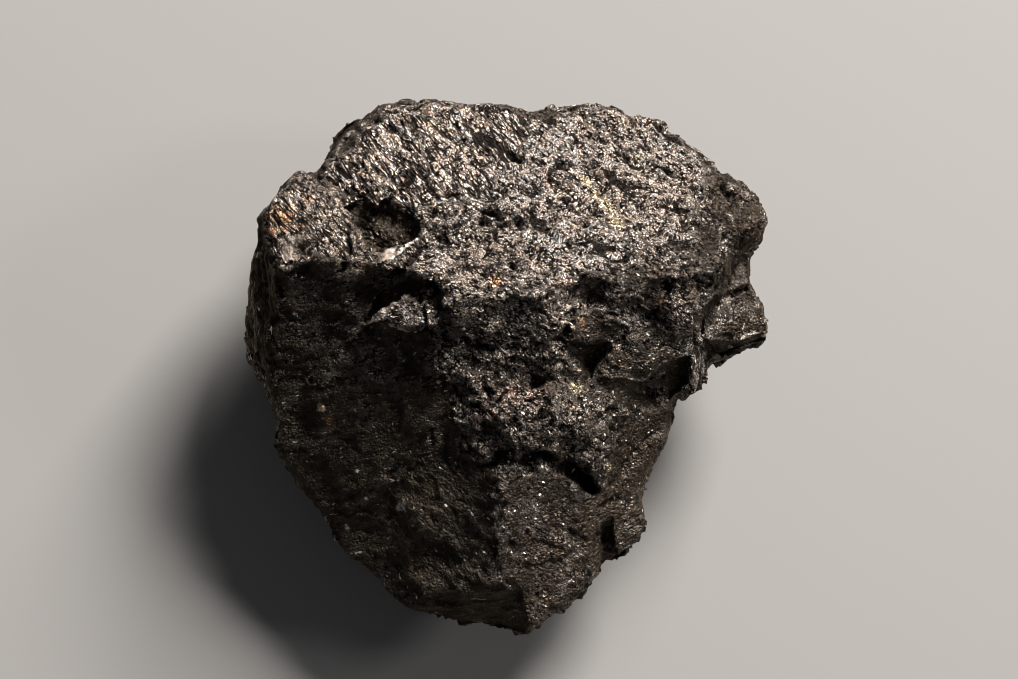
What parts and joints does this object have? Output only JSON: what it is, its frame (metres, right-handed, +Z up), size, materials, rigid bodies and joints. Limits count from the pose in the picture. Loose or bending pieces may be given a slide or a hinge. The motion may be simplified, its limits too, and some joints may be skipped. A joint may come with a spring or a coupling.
{
  "type": "sphalerite specimen",
  "caption": "Blocky dark sphalerite crystal mass with stepped cleavage faces, ridges, ledges and pits, lying on its flat broken back.",
  "frame": {"origin": "on the resting surface, under the middle of the specimen's plan box", "axes": "+X to the viewer's right and +Y up the picture when the crystal faces are looked at from above; +Z up, out of the crystal faces"},
  "size_m": [0.0792, 0.081, 0.0409],
  "materials": {
    "sphalerite": "brown-black, etched and finely stepped, resinous to submetallic, with a few rust, cream and white specks"
  },
  "bodies": {
    "root": {"sphalerite_crystal": "sphalerite"}
  },
  "joints": []
}
